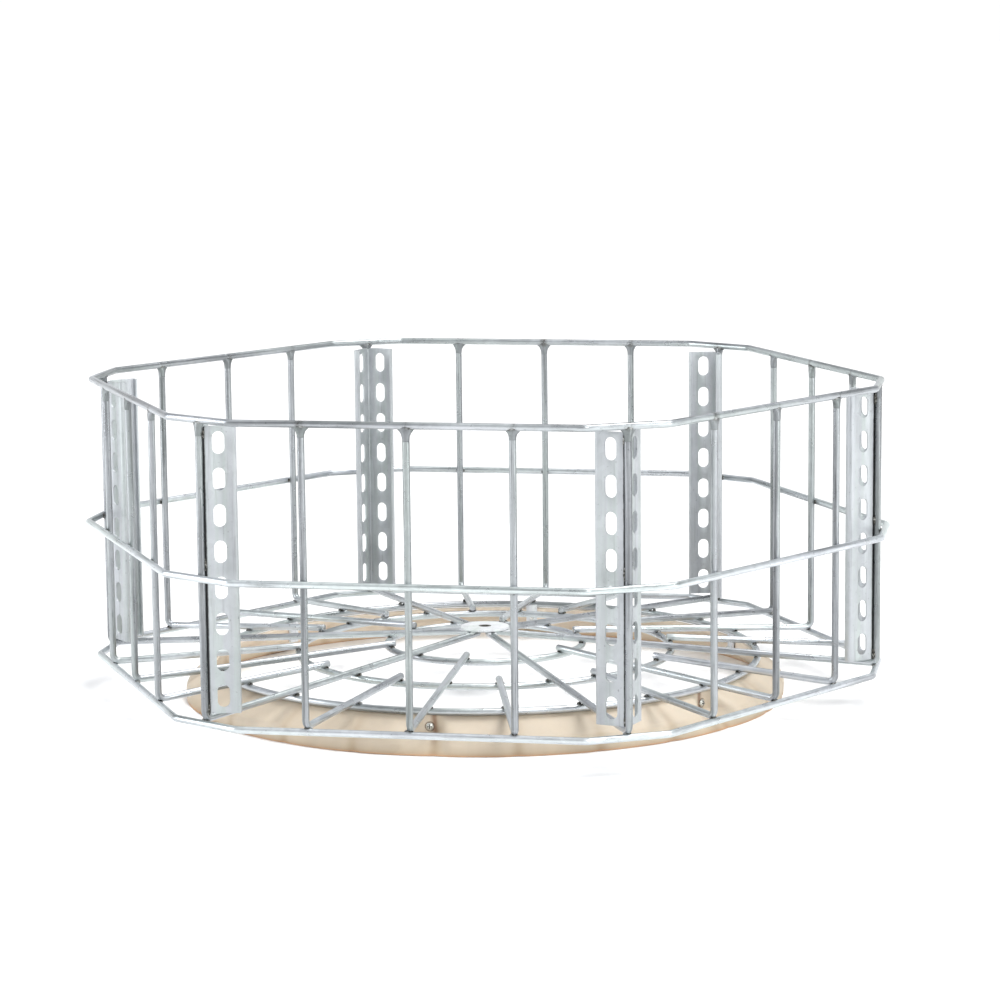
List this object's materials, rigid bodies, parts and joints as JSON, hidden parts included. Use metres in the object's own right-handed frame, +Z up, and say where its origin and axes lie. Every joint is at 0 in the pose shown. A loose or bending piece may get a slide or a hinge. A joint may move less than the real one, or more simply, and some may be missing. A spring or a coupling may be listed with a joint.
{
  "type": "trough feeder guard",
  "caption": "Hexagonal welded wire guard with a sunk ringed wire floor, slotted corner posts and a flared flexible skirt screwed on below.",
  "frame": {"origin": "centre of the skirt's lower edge, on the plane the part stands on", "axes": "+Z up; +X through a corner of the hexagon; +Y square to a flat side"},
  "size_m": [0.9618, 0.8838, 0.38],
  "materials": {
    "wire_galvanised": "bright galvanised wire, slightly uneven",
    "post_galvanised": "matt galvanised sheet",
    "plate_galvanised": "galvanised plate",
    "skirt_sheet": "matt beige flexible sheet",
    "screw_zinc": "zinc plated"
  },
  "bodies": {
    "root": {"corner_bar_a": "wire_galvanised", "corner_bar_b": "wire_galvanised", "corner_bar_c": "wire_galvanised", "corner_bar_d": "wire_galvanised", "corner_bar_e": "wire_galvanised", "corner_bar_f": "wire_galvanised", "middle_bar_a": "wire_galvanised", "middle_bar_b": "wire_galvanised", "middle_bar_c": "wire_galvanised", "middle_bar_d": "wire_galvanised", "middle_bar_e": "wire_galvanised", "middle_bar_f": "wire_galvanised", "side_bar_a1": "wire_galvanised", "side_bar_a2": "wire_galvanised", "side_bar_b1": "wire_galvanised", "side_bar_b2": "wire_galvanised", "side_bar_c1": "wire_galvanised", "side_bar_c2": "wire_galvanised", "side_bar_d1": "wire_galvanised", "side_bar_d2": "wire_galvanised", "side_bar_e1": "wire_galvanised", "side_bar_e2": "wire_galvanised", "side_bar_f1": "wire_galvanised", "side_bar_f2": "wire_galvanised", "top_hoop": "wire_galvanised", "middle_hoop": "wire_galvanised", "bottom_hoop": "wire_galvanised", "floor_ring_outer": "wire_galvanised", "floor_ring_middle": "wire_galvanised", "floor_ring_inner": "wire_galvanised", "hub_plate": "plate_galvanised", "post_a": "post_galvanised", "post_b": "post_galvanised", "post_c": "post_galvanised", "post_d": "post_galvanised", "post_e": "post_galvanised", "post_f": "post_galvanised", "hanger_tab_a": "plate_galvanised", "hanger_tab_b": "plate_galvanised", "hanger_tab_c": "plate_galvanised", "hanger_tab_d": "plate_galvanised", "hanger_tab_e": "plate_galvanised", "hanger_tab_f": "plate_galvanised", "skirt": "skirt_sheet", "skirt_screws": "screw_zinc"}
  },
  "joints": []
}
